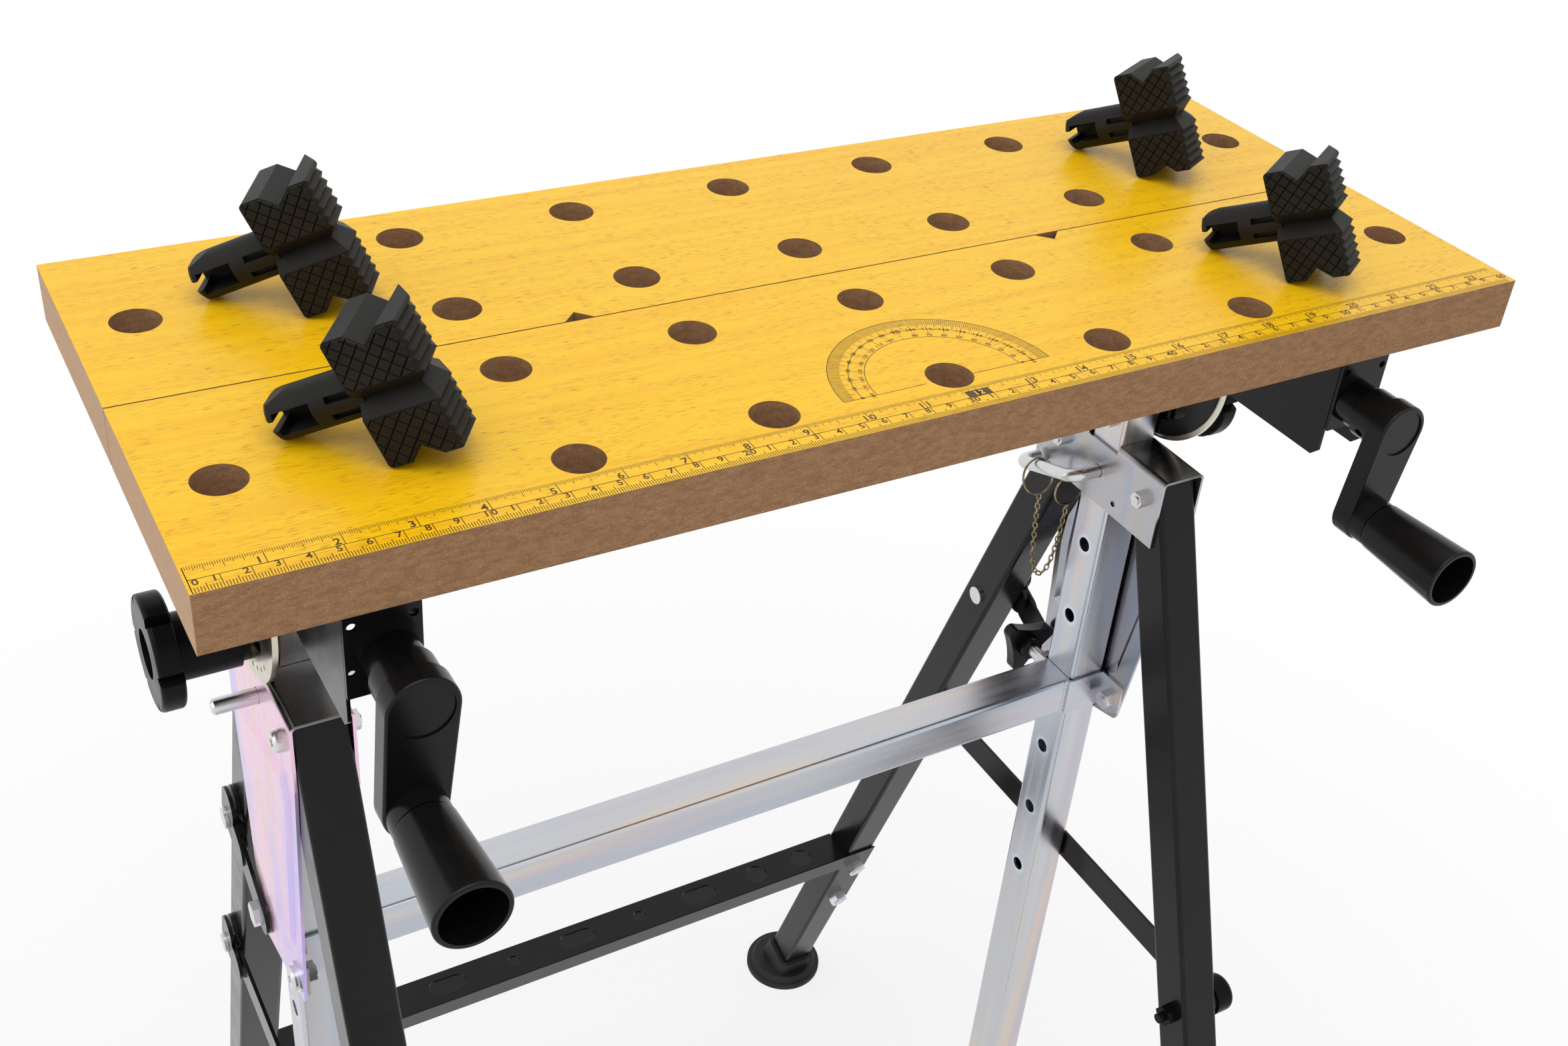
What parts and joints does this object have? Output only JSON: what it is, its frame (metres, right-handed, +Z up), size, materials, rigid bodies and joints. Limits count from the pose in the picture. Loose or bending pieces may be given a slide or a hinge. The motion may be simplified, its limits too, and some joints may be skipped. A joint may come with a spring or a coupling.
{
  "type": "portable workbench",
  "caption": "Portable height-adjustable workbench with tilting two-jaw vise top, crank spindles, dog holes, splayed folding legs and a foot step.",
  "frame": {"origin": "centre of the feet's footprint on the floor", "axes": "+Z up, +X to the user's right along the boards, +Y away from the user's crank side"},
  "size_m": [0.605, 0.6512, 0.9442],
  "materials": {
    "wood": "sealed",
    "black_paint": "gloss",
    "zinc": "zinc plated",
    "gloss_black_plastic": "gloss",
    "matte_black_plastic": "matte",
    "rubber": "matte",
    "brass": "bright"
  },
  "bodies": {
    "frame": {"upper_bracket_left": "zinc", "upper_bracket_right": "zinc", "crossbar": "zinc", "sleeves": "zinc", "pivot_screws": "zinc", "pivot_nuts": "zinc", "sleeve_bolts": "zinc"},
    "lift": {"column_left": "zinc", "column_right": "zinc", "tilt_bolts": "zinc"},
    "top": {"vise_rail_left": "black_paint", "vise_rail_right": "black_paint", "front_board": "wood", "board_screws": "zinc", "spindle_bushes": "matte_black_plastic", "tilt_discs": "zinc", "disc_rivets": "zinc"},
    "jaw": {"rear_board": "wood", "travelling_nuts": "zinc", "jaw_screws": "zinc"},
    "rear_frame": {"rear_leg_left": "black_paint", "rear_leg_right": "black_paint", "rear_foot_left": "rubber", "rear_foot_right": "rubber", "foot_step": "black_paint", "step_bolts": "zinc", "brace_rivets": "zinc"},
    "crank_left": {"spindle_left": "zinc", "crank_left": "gloss_black_plastic"},
    "handle_left": {"crank_handle_left": "gloss_black_plastic"},
    "tilt_knob_left": {"tilt_knob_left": "gloss_black_plastic"},
    "pin_left": {"locking_pin_left": "zinc", "pin_chain_left": "brass"},
    "star_knob_left": {"star_knob_left": "gloss_black_plastic"},
    "front_leg_left": {"front_leg_left": "black_paint", "front_foot_left": "rubber", "leg_nut_left": "black_paint"},
    "lower_brace_left": {"lower_brace_left": "black_paint"},
    "brace_knob_left": {"brace_knob_left": "gloss_black_plastic"},
    "upper_brace_left": {"upper_brace_left": "black_paint", "brace_bolt_left": "zinc"},
    "grip_front_left": {"swivel_grip_front_left": "matte_black_plastic"},
    "grip_rear_left": {"swivel_grip_rear_left": "matte_black_plastic"},
    "crank_right": {"spindle_right": "zinc", "crank_right": "gloss_black_plastic"},
    "handle_right": {"crank_handle_right": "gloss_black_plastic"},
    "tilt_knob_right": {"tilt_knob_right": "gloss_black_plastic"},
    "pin_right": {"locking_pin_right": "zinc", "pin_chain_right": "brass"},
    "star_knob_right": {"star_knob_right": "gloss_black_plastic"},
    "front_leg_right": {"front_leg_right": "black_paint", "front_foot_right": "rubber", "leg_nut_right": "black_paint"},
    "lower_brace_right": {"lower_brace_right": "black_paint"},
    "brace_knob_right": {"brace_knob_right": "gloss_black_plastic"},
    "upper_brace_right": {"upper_brace_right": "black_paint", "brace_bolt_right": "zinc"},
    "grip_front_right": {"swivel_grip_front_right": "matte_black_plastic"},
    "grip_rear_right": {"swivel_grip_rear_right": "matte_black_plastic"}
  },
  "joints": [
    {"name": "height_slide", "type": "slide", "parent": "frame", "child": "lift", "axis": [0, 0, 1], "range_m": [0, 0.312]},
    {"name": "tilt", "type": "hinge", "parent": "lift", "child": "top", "pos_m": [0, 0.01297, 0.773], "axis": [1, 0, 0], "range_deg": [-55, 45]},
    {"name": "jaw_slide", "type": "slide", "parent": "top", "child": "jaw", "axis": [0, 1, 0], "range_m": [0, 0.09]},
    {"name": "rear_fold", "type": "hinge", "parent": "frame", "child": "rear_frame", "pos_m": [0, 0.04597, 0.7035], "axis": [1, 0, 0], "range_deg": [-6, 0]},
    {"name": "grip_lift_front_left", "type": "slide", "parent": "top", "child": "grip_front_left", "axis": [0, 0, 1], "range_m": [0, 0.15]},
    {"name": "grip_lift_rear_left", "type": "slide", "parent": "jaw", "child": "grip_rear_left", "axis": [0, 0, 1], "range_m": [0, 0.15]},
    {"name": "crank_turn_left", "type": "hinge", "parent": "top", "child": "crank_left", "pos_m": [-0.2344, -0.14703, 0.8255], "axis": [0, 1, 0], "continuous": true},
    {"name": "handle_spin_left", "type": "hinge", "parent": "crank_left", "child": "handle_left", "pos_m": [-0.23864, -0.18703, 0.7807], "axis": [0, 1, 0], "continuous": true},
    {"name": "tilt_knob_turn_left", "type": "hinge", "parent": "lift", "child": "tilt_knob_left", "pos_m": [-0.285, 0.01297, 0.7375], "axis": [1, 0, 0], "continuous": true},
    {"name": "pin_pull_left", "type": "slide", "parent": "frame", "child": "pin_left", "axis": [1, 0, 0], "range_m": [0, 0.048], "deforming": ["pin_chain_left"]},
    {"name": "star_knob_turn_left", "type": "hinge", "parent": "frame", "child": "star_knob_left", "pos_m": [-0.229, 0.04297, 0.545], "axis": [0, 1, 0], "continuous": true},
    {"name": "front_fold_left", "type": "hinge", "parent": "frame", "child": "front_leg_left", "pos_m": [-0.237, -0.02633, 0.7052], "axis": [1, 0, 0], "range_deg": [0, 15]},
    {"name": "lower_brace_swing_left", "type": "hinge", "parent": "rear_frame", "child": "lower_brace_left", "pos_m": [-0.252, 0.15104, 0.405], "axis": [1, 0, 0], "range_deg": [0, 105]},
    {"name": "brace_knob_turn_left", "type": "hinge", "parent": "lower_brace_left", "child": "brace_knob_left", "pos_m": [-0.258, -0.14048, 0.404], "axis": [1, 0, 0], "continuous": true},
    {"name": "upper_brace_swing_left", "type": "hinge", "parent": "rear_frame", "child": "upper_brace_left", "pos_m": [-0.252, 0.09979, 0.5506], "axis": [1, 0, 0], "range_deg": [0, 10.2]},
    {"name": "grip_lift_front_right", "type": "slide", "parent": "top", "child": "grip_front_right", "axis": [0, 0, 1], "range_m": [0, 0.15]},
    {"name": "grip_lift_rear_right", "type": "slide", "parent": "jaw", "child": "grip_rear_right", "axis": [0, 0, 1], "range_m": [0, 0.15]},
    {"name": "crank_turn_right", "type": "hinge", "parent": "top", "child": "crank_right", "pos_m": [0.2344, -0.14703, 0.8255], "axis": [0, 1, 0], "continuous": true},
    {"name": "handle_spin_right", "type": "hinge", "parent": "crank_right", "child": "handle_right", "pos_m": [0.22736, -0.18703, 0.78105], "axis": [0, 1, 0], "continuous": true},
    {"name": "tilt_knob_turn_right", "type": "hinge", "parent": "lift", "child": "tilt_knob_right", "pos_m": [0.285, 0.01297, 0.7375], "axis": [1, 0, 0], "continuous": true},
    {"name": "pin_pull_right", "type": "slide", "parent": "frame", "child": "pin_right", "axis": [-1, 0, 0], "range_m": [0, 0.048], "deforming": ["pin_chain_right"]},
    {"name": "star_knob_turn_right", "type": "hinge", "parent": "frame", "child": "star_knob_right", "pos_m": [0.229, 0.04297, 0.545], "axis": [0, 1, 0], "continuous": true},
    {"name": "front_fold_right", "type": "hinge", "parent": "frame", "child": "front_leg_right", "pos_m": [0.237, -0.02633, 0.7052], "axis": [1, 0, 0], "range_deg": [0, 15]},
    {"name": "lower_brace_swing_right", "type": "hinge", "parent": "rear_frame", "child": "lower_brace_right", "pos_m": [0.252, 0.15104, 0.405], "axis": [1, 0, 0], "range_deg": [0, 105]},
    {"name": "brace_knob_turn_right", "type": "hinge", "parent": "lower_brace_right", "child": "brace_knob_right", "pos_m": [0.258, -0.14048, 0.404], "axis": [1, 0, 0], "continuous": true},
    {"name": "upper_brace_swing_right", "type": "hinge", "parent": "rear_frame", "child": "upper_brace_right", "pos_m": [0.252, 0.09979, 0.5506], "axis": [1, 0, 0], "range_deg": [0, 10.2]}
  ],
  "couplings": [
    {"joint": "crank_turn_left", "follows": "jaw_slide", "rad_per_m": -1570.8},
    {"joint": "upper_brace_swing_left", "follows": "rear_fold", "ratio": -1.675},
    {"joint": "crank_turn_right", "follows": "jaw_slide", "rad_per_m": -1570.8},
    {"joint": "upper_brace_swing_right", "follows": "rear_fold", "ratio": -1.675}
  ]
}
